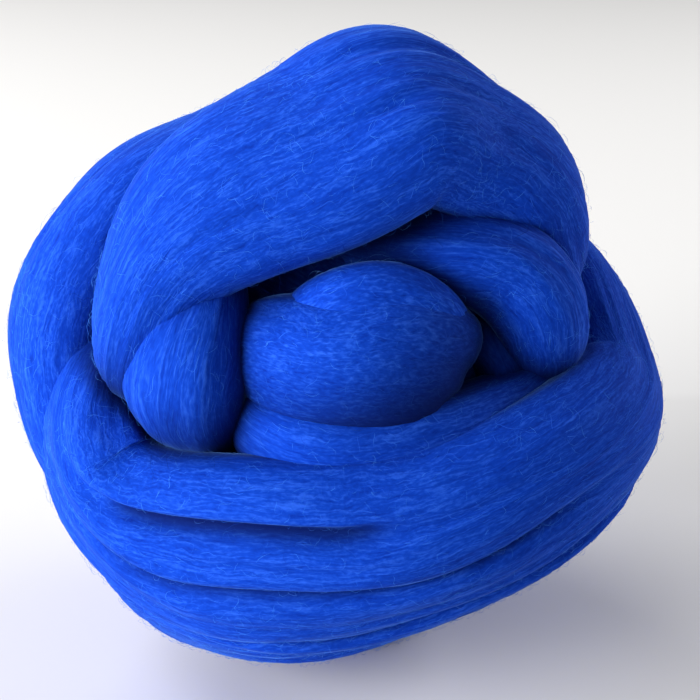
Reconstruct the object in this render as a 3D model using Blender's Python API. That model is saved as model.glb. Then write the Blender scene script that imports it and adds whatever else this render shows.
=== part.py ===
"""A loose ball of super chunky merino wool: one thick, unspun sliver wound into a nest.

The ball is one solid. Each turn of the sliver that can be told apart from outside is swept along its
own route round the ball, with the sliver's changing width and thickness and its main creases. The
turns are then joined with the wound middle on a fine grid. The ball rests on a small flat spot.

Run with: blender --background --python part.py
Blender units are metres. The tables below are in millimetres and degrees.
"""

from collections import namedtuple

import bmesh
import bpy
import numpy as np

MM = 0.001

# The ball.
BALL_CENTRE = np.array([0.0, 0.0, 80.0])  # above the flat spot, whose centre is the origin
CORE_SEMI_AXES = (54.0, 48.0, 53.0)  # the wound middle, seen only deep between the turns
BALL_RADIUS = 80.0  # sets how much a turn's edges curve inwards, round the ball

# The sliver's cross-section: a flattened round, domed outwards.
SECTION_POWER = 2.3  # 2 is an ellipse, and more is squarer
EDGE_CURVE = 0.5  # the share of the ball's own curve that a turn's width follows
POINTS_AROUND = 64
STEP_ALONG = 6.0  # between the sections of a turn
FINE_STEPS = 1000  # used to measure a turn's length
CREASE_FADE = 0.12  # the share of a turn's length over which a crease deepens or runs out

# Soft lumps on the outside of a turn: their height, how fast they come along the sliver (the length
# of one radian), how they lean across it, and what the turn's own phase is multiplied by.
Lump = namedtuple("Lump", "height pace lean shift")
LUMPS = [
    Lump(0.9, 17.0, 2.1, 1.0),
    Lump(0.6, 9.5, -3.3, 2.7),
]

# The joined solid.
VOXEL = 0.0018  # the grid on which the turns are joined, in metres
SMOOTHINGS = 1
TRIANGLES = 11000
CUT_MERGE = 0.0002  # points this near the flat spot's plane are taken to it, in metres

WOOL_BLUE = (0.020, 0.095, 0.640, 1.0)

# Row: where the sliver's middle passes, as a direction from the ball's centre (azimuth 0 is the
# front, -Y, and 90 the right, +X) and the distance from there, then its width and thickness.
Row = namedtuple("Row", "azimuth elevation reach width thick")
# Crease: its place across the sliver, from -1 at the left edge to 1 at the right one (going along the
# turn, with the ball's centre below), its depth, its half width as a share of the sliver's half
# width, and where it starts and ends, as shares of the turn's length.
Crease = namedtuple("Crease", "across depth spread start end")
# Turn: lump scales the soft lumps and phase shifts them. Both ends are tucked into the ball.
Turn = namedtuple("Turn", "name lump phase rows creases")

TURNS = [
    Turn("low_turn", 1.0, 1.0, [
        Row(122, -34, 52, 26, 20),
        Row(98, -42, 61, 38, 25),
        Row(74, -44, 64, 42, 26),
        Row(48, -47, 64, 42, 26),
        Row(22, -48, 64, 43, 26),
        Row(-6, -48, 66, 45, 27),
        Row(-32, -46, 69, 48, 28),
        Row(-60, -42, 71, 46, 28),
        Row(-90, -46, 68, 42, 26),
        Row(-125, -50, 67, 42, 26),
        Row(-160, -50, 66, 42, 26),
        Row(165, -46, 65, 42, 26),
        Row(138, -42, 62, 36, 24),
        Row(116, -38, 54, 26, 20),
    ], []),
    Turn("underside", 0.5, 1.5, [
        Row(-110, -40, 50, 30, 20),
        Row(-112, -66, 65, 44, 26),
        Row(120, -85, 71, 52, 27),
        Row(96, -64, 64, 44, 26),
        Row(86, -40, 52, 30, 20),
    ], []),
    Turn("under_back", 0.5, 1.8, [
        Row(122, -50, 52, 28, 20),
        Row(146, -62, 65, 44, 26),
        Row(180, -68, 67, 50, 27),
        Row(-150, -62, 66, 46, 26),
        Row(-120, -52, 54, 30, 20),
    ], []),
    Turn("sling", 1.0, 2.0, [
        Row(-74, 14, 52, 18, 14),
        Row(-69, 1, 63, 30, 20),
        Row(-64, -10, 68, 40, 25),
        Row(-56, -20, 70, 49, 28),
        Row(-37, -27, 69, 59, 31),
        Row(-13, -27, 67, 62, 32),
        Row(6, -26, 66, 60, 32),
        Row(26, -21, 67, 55, 31),
        Row(46, -14, 69, 49, 30),
        Row(65, -9, 71, 44, 28),
        Row(79, -5.5, 70, 39.5, 26),
        Row(91, 3, 66, 36.5, 25),
        Row(107, 10, 62.5, 37, 25),
        Row(135, 11, 62, 42, 26),
        Row(180, 3, 64, 44, 26),
        Row(-145, -8, 66, 42, 26),
        Row(-110, -14, 65, 36, 24),
        Row(-85, -18, 56, 26, 20),
    ], [
        Crease(-0.75, 4.0, 0.10, 0.04, 0.40),
        Crease(-0.30, 4.0, 0.09, 0.05, 0.45),
        Crease(0.40, 3.0, 0.09, 0.08, 0.48),
    ]),
    Turn("back_arch", 1.0, 3.0, [
        Row(-66, -34, 60, 24, 20),
        Row(-72, -18, 69, 34, 24),
        Row(-76, -4, 71, 39, 25),
        Row(-82, 12, 70, 41, 26),
        Row(-88, 26, 67, 41, 26),
        Row(-97, 39, 64, 41, 26),
        Row(-114, 49, 60, 42, 26),
        Row(-145, 55, 59, 44, 26),
        Row(170, 54, 60, 44, 26),
        Row(135, 42, 62, 42, 26),
        Row(122, 24, 62, 38, 24),
        Row(118, 0, 56, 28, 20),
    ], [
        Crease(-0.15, 2.0, 0.08, 0.08, 0.70),
    ]),
    Turn("cap", 1.0, 4.0, [
        Row(-62, -6, 42, 12, 12),
        Row(-55, 6, 55, 17, 16),
        Row(-47, 18, 66, 25, 21),
        Row(-43.5, 30.5, 69, 30, 24),
        Row(-38, 42.5, 70, 40, 27),
        Row(-24, 54.5, 70.5, 48, 29),
        Row(-3, 61.5, 73, 51.5, 30),
        Row(27, 65, 78.5, 51, 30),
        Row(52, 60.5, 74, 46, 29),
        Row(67, 50, 71, 39, 27),
        Row(76, 38, 65, 32, 23),
        Row(88, 26, 57, 26, 20),
        Row(104, 10, 48, 20, 16),
    ], [
        Crease(-0.30, 2.0, 0.08, 0.50, 0.85),
    ]),
    Turn("under_strand", 0.8, 5.0, [
        Row(8, 56, 42, 18, 16),
        Row(25, 47, 51, 20, 19),
        Row(38, 41.5, 59, 24, 21),
        Row(49.5, 34, 62.5, 24, 23),
        Row(55, 23, 63.5, 23, 22),
        Row(59, 13, 60, 19, 18),
        Row(80, -5, 50, 14, 12),
    ], []),
    Turn("drop_loop", 0.5, 6.0, [
        Row(-49, 43, 49, 10, 12),
        Row(-37, 35, 57, 15, 16),
        Row(-33.5, 26, 61, 22, 20),
        Row(-34, 17, 63.5, 29, 24),
        Row(-35, 9, 61.5, 30, 23),
        Row(-36, 2, 54, 26, 19),
        Row(-37, -3, 44, 16, 14),
    ], []),
    Turn("heart", 0.6, 7.0, [
        Row(-22, 21, 45, 22, 18),
        Row(-11.5, 20.5, 55, 30, 23),
        Row(-2, 19, 59, 31, 25),
        Row(10.5, 19, 60, 34, 27),
        Row(20.5, 17.5, 59, 34, 26),
        Row(28.5, 15, 54, 31, 24),
        Row(33, 12, 45, 26, 20),
        Row(38, 9, 37, 20, 16),
    ], []),
    Turn("heart_fold", 0.5, 7.5, [
        Row(-10, 22, 44, 12, 12),
        Row(-5, 28, 56, 17, 16),
        Row(3, 30, 61, 20, 18),
        Row(13, 30, 62, 21, 18),
        Row(22, 26, 60, 20, 18),
        Row(28, 20, 52, 18, 16),
        Row(32, 10, 42, 14, 12),
    ], []),
    Turn("rim", 0.5, 8.0, [
        Row(-23, 5, 46, 16, 14),
        Row(-15, 2, 55, 20, 18),
        Row(-6, 0, 58, 22, 20),
        Row(7, 0, 58, 22, 20),
        Row(22, 1.5, 58, 19, 19),
        Row(41, 3, 57, 15, 16),
        Row(62, 4, 57, 14, 14),
        Row(85, 6, 52, 13, 12),
    ], []),
    Turn("inner_strand", 0.3, 9.0, [
        Row(70, 24, 42, 10, 9),
        Row(48, 18, 51, 11, 11),
        Row(50, 9, 53, 12, 12),
        Row(58, 0, 50, 11, 11),
        Row(66, -8, 44, 9, 9),
    ], []),
    Turn("crown", 0.8, 10.5, [
        Row(-96, 26, 49, 22, 18),
        Row(-104, 45, 56, 34, 24),
        Row(-122, 63, 57, 40, 26),
        Row(170, 76, 61, 42, 27),
        Row(124, 68, 66, 42, 27),
        Row(110, 52, 66, 40, 26),
        Row(104, 36, 62, 36, 25),
        Row(98, 18, 56, 28, 20),
    ], []),
    Turn("back_low", 0.8, 10.0, [
        Row(100, -20, 56, 26, 20),
        Row(125, -22, 65, 38, 25),
        Row(160, -24, 65, 40, 25),
        Row(-160, -29, 65, 40, 25),
        Row(-125, -30, 64, 38, 24),
        Row(-98, -34, 58, 30, 20),
    ], []),
    Turn("back_mid", 0.8, 11.0, [
        Row(140, 2, 52, 26, 20),
        Row(165, 22, 60, 36, 24),
        Row(-165, 30, 62, 42, 25),
        Row(-135, 26, 63, 42, 25),
        Row(-110, 16, 64, 36, 24),
        Row(-95, 4, 58, 26, 20),
    ], []),
]


def direction(azimuth, elevation):
    """The unit vector from the ball's centre towards an azimuth and an elevation."""
    a, e = np.radians(azimuth), np.radians(elevation)
    return np.array([np.sin(a) * np.cos(e), -np.cos(a) * np.cos(e), np.sin(e)])


def bends(knots, values):
    """The second derivatives of the natural cubic spline through values at knots."""
    gaps = np.diff(knots)
    system = np.eye(len(knots))
    right = np.zeros(values.shape)
    for i in range(1, len(knots) - 1):
        before, after = gaps[i - 1], gaps[i]
        system[i, i - 1 : i + 2] = before, 2 * (before + after), after
        right[i] = 6 * ((values[i + 1] - values[i]) / after - (values[i] - values[i - 1]) / before)
    return np.linalg.solve(system, right)


def smooth_route(turn, step):
    """Places, widths and thicknesses at even steps along a turn, in five columns, and its length."""
    values = np.array([
        [*(BALL_CENTRE + row.reach * direction(row.azimuth, row.elevation)), row.width, row.thick]
        for row in turn.rows
    ])
    chords = np.linalg.norm(np.diff(values[:, :3], axis=0), axis=1)
    knots = np.concatenate([[0], np.cumsum(chords)])
    second = bends(knots, values)

    def at(places):
        i = np.clip(np.searchsorted(knots, places, side="right") - 1, 0, len(chords) - 1)
        gap = chords[i][:, None]
        a = (knots[i + 1] - places)[:, None] / gap
        b = 1 - a
        curve = (a**3 - a) * second[i] + (b**3 - b) * second[i + 1]
        return a * values[i] + b * values[i + 1] + curve * gap**2 / 6

    fine = np.linspace(0, knots[-1], FINE_STEPS)
    steps = np.linalg.norm(np.diff(at(fine)[:, :3], axis=0), axis=1)
    run = np.concatenate([[0], np.cumsum(steps)])
    even = np.linspace(0, run[-1], round(run[-1] / step) + 1)
    return at(np.interp(even, run, fine)), run[-1]


def section_axes(places):
    """Unit vectors across the sliver and outwards from the ball, at each place of a route."""
    along = np.gradient(places, axis=0)
    along /= np.linalg.norm(along, axis=1)[:, None]
    outwards = places - BALL_CENTRE
    outwards -= (outwards * along).sum(1)[:, None] * along
    outwards /= np.linalg.norm(outwards, axis=1)[:, None]
    return np.cross(along, outwards), outwards


def squared(wave):
    """A sine or cosine with its ends held out, for a section squarer than an ellipse."""
    return np.sign(wave) * np.abs(wave) ** (2 / SECTION_POWER)


def swept(turn, around, step):
    """The turn's surface, in millimetres: a closed section of points at each step along it."""
    route, length = smooth_route(turn, step)
    places, width, thick = route[:, :3], route[:, 3:4], route[:, 4:5]
    across_axis, out_axis = section_axes(places)
    angle = np.linspace(0, 2 * np.pi, around, endpoint=False)
    across = squared(np.cos(angle))[None]
    height = squared(np.sin(angle))[None]
    share = np.linspace(0, 1, len(route))[:, None]
    outer = np.clip(height, 0, 1)
    x = across * width / 2
    y = height * thick / 2 - EDGE_CURVE * x**2 / (2 * BALL_RADIUS)
    for lump in LUMPS:
        wave = np.sin(share * length / lump.pace + lump.lean * across + lump.shift * turn.phase)
        y = y + turn.lump * lump.height * outer * wave
    for crease in turn.creases:
        ramp = np.minimum(share - crease.start, crease.end - share) / CREASE_FADE
        ramp = np.clip(ramp, 0, 1)
        valley = np.exp(-(((across - crease.across) / crease.spread) ** 2))
        y = y - crease.depth * (height > 0) * ramp**2 * (3 - 2 * ramp) * valley
    return places[:, None] + x[..., None] * across_axis[:, None] + y[..., None] * out_axis[:, None]


def strand_mesh(turn, around, step):
    """A closed mesh of one turn, its open ends shut with flat caps."""
    grid = swept(turn, around, step) * MM
    mesh = bmesh.new()
    rings = [[mesh.verts.new(point) for point in ring] for ring in grid]
    for ring, following in zip(rings, rings[1:]):
        for j in range(around):
            k = (j + 1) % around
            mesh.faces.new((ring[j], ring[k], following[k], following[j]))
    mesh.faces.new(reversed(rings[0]))
    mesh.faces.new(rings[-1])
    bmesh.ops.recalc_face_normals(mesh, faces=mesh.faces)
    data = bpy.data.meshes.new(turn.name)
    mesh.to_mesh(data)
    mesh.free()
    return data


def joined_strands():
    """Every turn and the core in one mesh, still overlapping."""
    strands = bmesh.new()
    for turn in TURNS:
        strands.from_mesh(strand_mesh(turn, POINTS_AROUND, STEP_ALONG))
    core = bmesh.ops.create_icosphere(strands, subdivisions=3, radius=1.0)["verts"]
    bmesh.ops.scale(strands, vec=[axis * MM for axis in CORE_SEMI_AXES], verts=core)
    bmesh.ops.translate(strands, vec=BALL_CENTRE * MM, verts=core)
    data = bpy.data.meshes.new("strands")
    strands.to_mesh(data)
    strands.free()
    return data


def modified(data, kind, **settings):
    """The mesh that one modifier makes of another mesh."""
    holder = bpy.data.objects.new("holder", data)
    bpy.context.collection.objects.link(holder)
    modifier = holder.modifiers.new(kind, kind)
    for name, value in settings.items():
        setattr(modifier, name, value)
    graph = bpy.context.evaluated_depsgraph_get()
    result = bpy.data.meshes.new_from_object(holder.evaluated_get(graph))
    bpy.data.objects.remove(holder)
    bpy.data.meshes.remove(data)
    return result


def islands(mesh):
    """The faces of each connected shell."""
    waiting = set(mesh.faces)
    while waiting:
        shell = [waiting.pop()]
        for face in shell:
            for edge in face.edges:
                for neighbour in edge.link_faces:
                    if neighbour in waiting:
                        waiting.remove(neighbour)
                        shell.append(neighbour)
        yield shell


def outer_shell(data):
    """The mesh without the walls of the hollows that the turns close in."""
    mesh = bmesh.new()
    mesh.from_mesh(data)
    shells = sorted(islands(mesh), key=len)
    inner = [face for shell in shells[:-1] for face in shell]
    bmesh.ops.delete(mesh, geom=inner, context="FACES")
    mesh.to_mesh(data)
    mesh.free()
    return data


def flattened(data):
    """The mesh cut level at z = 0, which leaves the flat spot that the ball rests on."""
    mesh = bmesh.new()
    mesh.from_mesh(data)
    everything = [*mesh.verts, *mesh.edges, *mesh.faces]
    cut = bmesh.ops.bisect_plane(
        mesh, geom=everything, dist=CUT_MERGE, plane_co=(0, 0, 0), plane_no=(0, 0, -1), clear_outer=True
    )["geom_cut"]
    for vertex in cut:
        if isinstance(vertex, bmesh.types.BMVert):
            vertex.co.z = 0.0
    rim = [edge for edge in cut if isinstance(edge, bmesh.types.BMEdge)]
    bmesh.ops.contextual_create(mesh, geom=rim)
    bmesh.ops.triangulate(mesh, faces=mesh.faces)
    mesh.to_mesh(data)
    mesh.free()
    return data


def wool_material():
    material = bpy.data.materials.new("wool")
    material.use_nodes = True
    shader = material.node_tree.nodes["Principled BSDF"]
    shader.inputs["Base Color"].default_value = WOOL_BLUE
    shader.inputs["Roughness"].default_value = 0.9
    shader.inputs["Metallic"].default_value = 0.0
    return material


def main():
    for thing in list(bpy.data.objects):
        bpy.data.objects.remove(thing)
    data = modified(joined_strands(), "REMESH", mode="VOXEL", voxel_size=VOXEL)
    data = outer_shell(data)
    data = modified(data, "SMOOTH", factor=0.5, iterations=SMOOTHINGS)
    data = modified(data, "DECIMATE", ratio=TRIANGLES / (2 * len(data.polygons)))
    data = flattened(data)
    data.name = "wool_ball"
    data.materials.append(wool_material())
    data.shade_smooth()
    ball = bpy.data.objects.new("wool_ball", data)
    bpy.context.collection.objects.link(ball)


if __name__ == "__main__":
    main()
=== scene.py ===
"""The looks of a loose ball of super chunky merino wool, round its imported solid.

Each turn of the unspun sliver is swept along the same route as in the solid, with finer creases and the
soft ridges of its combed locks. Curly fibres then lie on the turns, stand off them as a short down and
cross the gaps between them. Tables are in millimetres and degrees, and Blender's units are metres.
"""

from collections import namedtuple

import bmesh
import bpy
import numpy as np
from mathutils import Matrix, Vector, noise
from mathutils.bvhtree import BVHTree


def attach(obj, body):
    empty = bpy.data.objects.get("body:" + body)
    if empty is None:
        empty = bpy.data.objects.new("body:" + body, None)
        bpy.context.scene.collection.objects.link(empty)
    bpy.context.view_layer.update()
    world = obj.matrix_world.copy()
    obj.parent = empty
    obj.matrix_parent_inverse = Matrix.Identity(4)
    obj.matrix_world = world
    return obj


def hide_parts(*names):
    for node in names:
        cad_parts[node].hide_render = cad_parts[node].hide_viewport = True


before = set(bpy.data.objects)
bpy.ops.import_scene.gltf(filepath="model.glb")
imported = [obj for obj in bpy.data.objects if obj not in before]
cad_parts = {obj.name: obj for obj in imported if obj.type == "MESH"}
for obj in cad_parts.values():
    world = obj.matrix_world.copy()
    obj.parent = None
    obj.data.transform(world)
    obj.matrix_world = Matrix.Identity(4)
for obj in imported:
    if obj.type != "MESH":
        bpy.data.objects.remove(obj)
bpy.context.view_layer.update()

MM = 0.001
NODE = "wool_ball"
BODY = "root"

# The ball, as in its solid.
BALL_CENTRE = np.array([0.0, 0.0, 80.0])  # above the flat spot's centre
BALL_RADIUS = 80.0
SECTION_POWER = 2.3  # of the superellipse that is a turn's section, where 2 would be an ellipse
EDGE_CURVE = 0.5  # how much of the ball's own curve a section follows
FINE_STEPS = 2000  # the steps by which a route's length is measured

# The wound middle, seen only deep between the turns: its half widths, how finely it is meshed, the
# height and closeness of its soft lumps and of its matted locks, and the closeness and reach of the
# swirls in those locks.
CORE_SEMI_AXES = (54.0, 48.0, 53.0)
CORE_SUBDIVISIONS = 5
CORE_LUMP_HEIGHT = 1.6
CORE_LUMPS = 4.0
CORE_LOCK_HEIGHT = 0.7
CORE_LOCKS = (30.0, 9.0, 9.0)
CORE_SWIRLS = 5.0
CORE_SWIRL = 6.0

# Creases: the share of the turn's length over which one begins or ends, how far it wanders across the
# turn, the share of its depth that comes and goes, and how much painted shade darkens the wool in it, for
# each millimetre of its depth. The noises are the length of a change, the rows from crease to crease and
# the seed.
CREASE_FADE = 0.12
CREASE_WANDER = 0.03
CREASE_UNEVEN = 0.25
CREASE_PAINTED_SHADE = 0.18
CREASE_DEPTH_NOISE = (22, 7, 31)
CREASE_PLACE_NOISE = (16, 9, 32)

# How finely a turn is meshed.
STEP_ALONG = 1.1
STEP_ACROSS = 0.9
OUTER_ARC = 1.5  # the length of a section's outer side, in widths
HIDDEN_STEP = 3.5  # across the side of a turn that faces the ball's middle
HIDDEN_ARC = 0.6  # the length of half of that side, in widths
FEWEST_HIDDEN = 5
OUTER_OVERLAP = 0.5  # how far past its edges a turn is still finely meshed, in radians
LATTICE = 256  # the size of a noise's lattice of random heights
JUST_INSIDE = 1.001  # grid steps that keep a place short of a grid's last ring or column
TINY = 1e-9  # keeps the length that a normal is divided by above 0
FIBRE_UV = "fibre"
# The attribute that carries the wool's painted shade, from the air it sees and from its creases and dents,
# with the painted light of one dent.
PAINTED_SHADE_ATTRIBUTE = "air"

# Row: where the sliver's middle passes, as a direction from the ball's centre (azimuth 0 is the
# front, -Y, and 90 the right, +X) and the distance from there, then its width and thickness.
Row = namedtuple("Row", "azimuth elevation reach width thick")
# Crease: its place across the sliver where it starts and where it ends, from -1 at the left edge to 1
# at the right one, its depth, its half width as a share of the sliver's half width, and its start and
# end as shares of the turn's length.
Crease = namedtuple("Crease", "across across_end depth spread start end")
# Turn: lump scales the soft lumps and phase shifts them. tangle is how far its fibres stray from its
# own direction, from 0, combed, to 1, felted. Both ends are tucked into the ball.
Turn = namedtuple("Turn", "name lump phase tangle rows creases")
# Lump: height, the length of one radian along the sliver, its lean across it, and its phase.
Lump = namedtuple("Lump", "height pace lean shift")
LUMPS = [
    Lump(0.9, 17.0, 2.1, 1.0),
    Lump(0.6, 9.5, -3.3, 2.7),
]
# Ridge: soft ridges of combed locks along the sliver: their height, width and length.
Ridge = namedtuple("Ridge", "height width length")
RIDGES = [
    Ridge(0.42, 9.0, 80.0),
    Ridge(0.32, 4.0, 36.0),
    Ridge(0.24, 2.2, 24.0),
]
# A ridge wanders sideways by soft noise: the length and width of one change, in ridge lengths and widths,
# and how far that noise's seed is from the ridge's own.
WANDER_LENGTH = 0.7
WANDER_WIDTH = 5
WANDER_SEED = 50
RIDGE_FADE = 0.5  # the sine over which the ridges fade out towards a turn's inner side
# Strand: a turn's surface as a grid of places and normals, the angles round its section, the distance
# round it at its widest, its width as a share of the widest, its length, the painted shade and painted
# light of its creases and dents at each point, as a share of its air, and how much open air the point sees
# with that, which sets its painted shade.
Strand = namedtuple("Strand", "turn grid normal angle arc narrow length clear air", defaults=[None])

TURNS = [
    Turn("low_turn", 1.0, 1.0, 0.2, [
        Row(122, -34, 52, 26, 20),
        Row(98, -42, 61, 38, 25),
        Row(74, -44, 64, 42, 26),
        Row(48, -47, 64, 42, 26),
        Row(22, -48, 64, 43, 26),
        Row(-6, -48, 66, 45, 27),
        Row(-32, -46, 69, 48, 28),
        Row(-60, -42, 71, 46, 28),
        Row(-90, -46, 68, 42, 26),
        Row(-125, -50, 67, 42, 26),
        Row(-160, -50, 66, 42, 26),
        Row(165, -46, 65, 42, 26),
        Row(138, -42, 62, 36, 24),
        Row(116, -38, 54, 26, 20),
    ], [
        Crease(0.10, 0.05, 1.4, 0.09, 0.22, 0.50),
        Crease(-0.30, -0.20, 1.6, 0.10, 0.55, 0.90),
        Crease(0.35, 0.25, 1.6, 0.10, 0.60, 0.95),
    ]),
    Turn("underside", 0.5, 1.5, 0.2, [
        Row(-110, -40, 50, 30, 20),
        Row(-112, -66, 65, 44, 26),
        Row(120, -85, 71, 52, 27),
        Row(96, -64, 64, 44, 26),
        Row(86, -40, 52, 30, 20),
    ], []),
    Turn("under_back", 0.5, 1.8, 0.2, [
        Row(122, -50, 52, 28, 20),
        Row(146, -62, 65, 44, 26),
        Row(180, -68, 67, 50, 27),
        Row(-150, -62, 66, 46, 26),
        Row(-120, -52, 54, 30, 20),
    ], []),
    Turn("sling", 1.0, 2.0, 0.3, [
        Row(-74, 14, 52, 18, 14),
        Row(-69, 1, 63, 30, 20),
        Row(-64, -10, 68, 40, 25),
        Row(-56, -20, 70, 49, 28),
        Row(-37, -27, 69, 59, 31),
        Row(-13, -27, 67, 62, 32),
        Row(6, -26, 66, 60, 32),
        Row(26, -21, 67, 55, 31),
        Row(46, -14, 69, 49, 30),
        Row(65, -9, 71, 44, 28),
        Row(79, -5.5, 70, 39.5, 26),
        Row(91, 3, 66, 36.5, 25),
        Row(107, 10, 62.5, 37, 25),
        Row(135, 11, 62, 42, 26),
        Row(180, 3, 64, 44, 26),
        Row(-145, -8, 66, 42, 26),
        Row(-110, -14, 65, 36, 24),
        Row(-85, -18, 56, 26, 20),
    ], [
        Crease(-0.75, -0.72, 4.0, 0.07, 0.04, 0.40),
        Crease(-0.30, -0.20, 4.0, 0.07, 0.05, 0.45),
        Crease(0.40, 0.45, 3.0, 0.07, 0.08, 0.48),
        Crease(-0.55, -0.50, 1.2, 0.05, 0.10, 0.34),
        Crease(0.05, 0.20, 1.2, 0.05, 0.16, 0.42),
        Crease(-0.35, -0.10, 1.6, 0.08, 0.52, 0.80),
        Crease(0.30, 0.45, 1.6, 0.08, 0.56, 0.86),
    ]),
    Turn("back_arch", 1.0, 3.0, 0.15, [
        Row(-66, -34, 60, 24, 20),
        Row(-72, -18, 69, 34, 24),
        Row(-76, -4, 71, 39, 25),
        Row(-82, 12, 70, 41, 26),
        Row(-88, 26, 67, 41, 26),
        Row(-97, 39, 64, 41, 26),
        Row(-114, 49, 60, 42, 26),
        Row(-145, 55, 59, 44, 26),
        Row(170, 54, 60, 44, 26),
        Row(135, 42, 62, 42, 26),
        Row(122, 24, 62, 38, 24),
        Row(118, 0, 56, 28, 20),
    ], [
        Crease(-0.15, -0.15, 2.0, 0.08, 0.08, 0.70),
        Crease(0.35, 0.25, 1.4, 0.07, 0.20, 0.75),
    ]),
    Turn("cap", 1.0, 4.0, 0.25, [
        Row(-62, -6, 42, 12, 12),
        Row(-55, 6, 55, 17, 16),
        Row(-47, 18, 66, 25, 21),
        Row(-43.5, 30.5, 69, 30, 24),
        Row(-38, 42.5, 70, 40, 27),
        Row(-24, 54.5, 70.5, 48, 29),
        Row(-3, 61.5, 73, 51.5, 30),
        Row(27, 65, 78.5, 51, 30),
        Row(52, 60.5, 74, 46, 29),
        Row(67, 50, 71, 39, 27),
        Row(76, 38, 65, 32, 23),
        Row(88, 26, 57, 26, 20),
        Row(104, 10, 48, 20, 16),
    ], [
        Crease(-0.30, -0.30, 2.0, 0.08, 0.50, 0.85),
        Crease(0.50, 0.05, 1.4, 0.07, 0.48, 0.72),
        Crease(0.10, 0.62, 1.3, 0.06, 0.36, 0.66),
        Crease(-0.10, 0.38, 1.0, 0.05, 0.40, 0.72),
        Crease(0.55, 0.80, 0.9, 0.05, 0.15, 0.50),
    ]),
    Turn("under_strand", 0.8, 5.0, 0.2, [
        Row(8, 56, 42, 18, 16),
        Row(25, 47, 51, 20, 19),
        Row(38, 41.5, 59, 24, 21),
        Row(49.5, 34, 62.5, 24, 23),
        Row(55, 23, 63.5, 23, 22),
        Row(59, 13, 60, 19, 18),
        Row(80, -5, 50, 14, 12),
    ], [
        Crease(-0.45, -0.35, 1.2, 0.09, 0.25, 0.85),
        Crease(0.05, 0.00, 1.2, 0.08, 0.30, 0.85),
    ]),
    Turn("drop_loop", 0.5, 6.0, 0.15, [
        Row(-49, 43, 49, 10, 12),
        Row(-37, 35, 57, 15, 16),
        Row(-33.5, 26, 61, 22, 20),
        Row(-34, 17, 63.5, 29, 24),
        Row(-35, 9, 61.5, 30, 23),
        Row(-36, 2, 54, 26, 19),
        Row(-37, -3, 44, 16, 14),
    ], []),
    Turn("heart", 0.6, 7.0, 0.8, [
        Row(-22, 21, 45, 22, 18),
        Row(-11.5, 20.5, 55, 30, 23),
        Row(-2, 19, 59, 31, 25),
        Row(10.5, 19, 60, 34, 27),
        Row(20.5, 17.5, 59, 34, 26),
        Row(28.5, 15, 54, 31, 24),
        Row(33, 12, 45, 26, 20),
        Row(38, 9, 37, 20, 16),
    ], []),
    Turn("heart_fold", 0.5, 7.5, 0.6, [
        Row(-10, 22, 44, 12, 12),
        Row(-5, 28, 56, 17, 16),
        Row(3, 30, 61, 20, 18),
        Row(13, 30, 62, 21, 18),
        Row(22, 26, 60, 20, 18),
        Row(28, 20, 52, 18, 16),
        Row(32, 10, 42, 14, 12),
    ], []),
    Turn("rim", 0.5, 8.0, 0.3, [
        Row(-23, 5, 46, 16, 14),
        Row(-15, 2, 55, 20, 18),
        Row(-6, 0, 58, 22, 20),
        Row(7, 0, 58, 22, 20),
        Row(22, 1.5, 58, 19, 19),
        Row(41, 3, 57, 15, 16),
        Row(62, 4, 57, 14, 14),
        Row(85, 6, 52, 13, 12),
    ], []),
    Turn("inner_strand", 0.3, 9.0, 0.2, [
        Row(70, 24, 42, 10, 9),
        Row(48, 18, 51, 11, 11),
        Row(50, 9, 53, 12, 12),
        Row(58, 0, 50, 11, 11),
        Row(66, -8, 44, 9, 9),
    ], []),
    Turn("crown", 0.8, 10.5, 0.2, [
        Row(-96, 26, 49, 22, 18),
        Row(-104, 45, 56, 34, 24),
        Row(-122, 63, 57, 40, 26),
        Row(170, 76, 61, 42, 27),
        Row(124, 68, 66, 42, 27),
        Row(110, 52, 66, 40, 26),
        Row(104, 36, 62, 36, 25),
        Row(98, 18, 56, 28, 20),
    ], [
        Crease(0.25, 0.10, 1.6, 0.09, 0.20, 0.80),
    ]),
    Turn("back_low", 0.8, 10.0, 0.2, [
        Row(100, -20, 56, 26, 20),
        Row(125, -22, 65, 38, 25),
        Row(160, -24, 65, 40, 25),
        Row(-160, -29, 65, 40, 25),
        Row(-125, -30, 64, 38, 24),
        Row(-98, -34, 58, 30, 20),
    ], [
        Crease(0.10, -0.10, 1.8, 0.09, 0.15, 0.85),
    ]),
    Turn("back_mid", 0.8, 11.0, 0.2, [
        Row(140, 2, 52, 26, 20),
        Row(165, 22, 60, 36, 24),
        Row(-165, 30, 62, 42, 25),
        Row(-135, 26, 63, 42, 25),
        Row(-110, 16, 64, 36, 24),
        Row(-95, 4, 58, 26, 20),
    ], [
        Crease(-0.25, 0.15, 1.8, 0.09, 0.15, 0.85),
    ]),
]

# Dent: a soft hollow in a turn, or a swelling where its depth is negative: its place along the turn as a
# share of the length and across it from -1 to 1, its depth, its half length and its half width, how far
# the edge on its side moves out, and the painted shade at its middle as the share of the air that it loses,
# which below 0 is painted light, a share that the air gains.
Dent = namedtuple("Dent", "share across depth along side widen shade", defaults=[0, 0])
# Where a dent's last value is above 0 it paints shade, and where it is below 0 it paints light; a dent of
# depth 0 is only painted.
DENTS = {
    "sling": [
        Dent(0.035, -0.90, 0, 11, 8, 0, 0.6),
        Dent(0.085, -0.90, -3.5, 20, 8, 8, -1.5),
    ],
    "cap": [
        Dent(0.14, 0.65, 0, 12, 10, 0, 0.5),
        Dent(0.70, -0.55, 2.0, 12, 5),
    ],
    "drop_loop": [
        Dent(0.68, -0.50, 0, 7, 11, 0, 0.35),
    ],
    "heart": [
        Dent(0.76, 0.1, 4.5, 17, 24, 0, 0.6),
        Dent(0.52, 0.85, 4.0, 26, 12, 0, 0.6),
        Dent(0.21, -0.75, 2.6, 4, 7),
    ],
    "heart_fold": [
        Dent(0.10, 0.0, 3.5, 9, 20),
    ],
}

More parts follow.
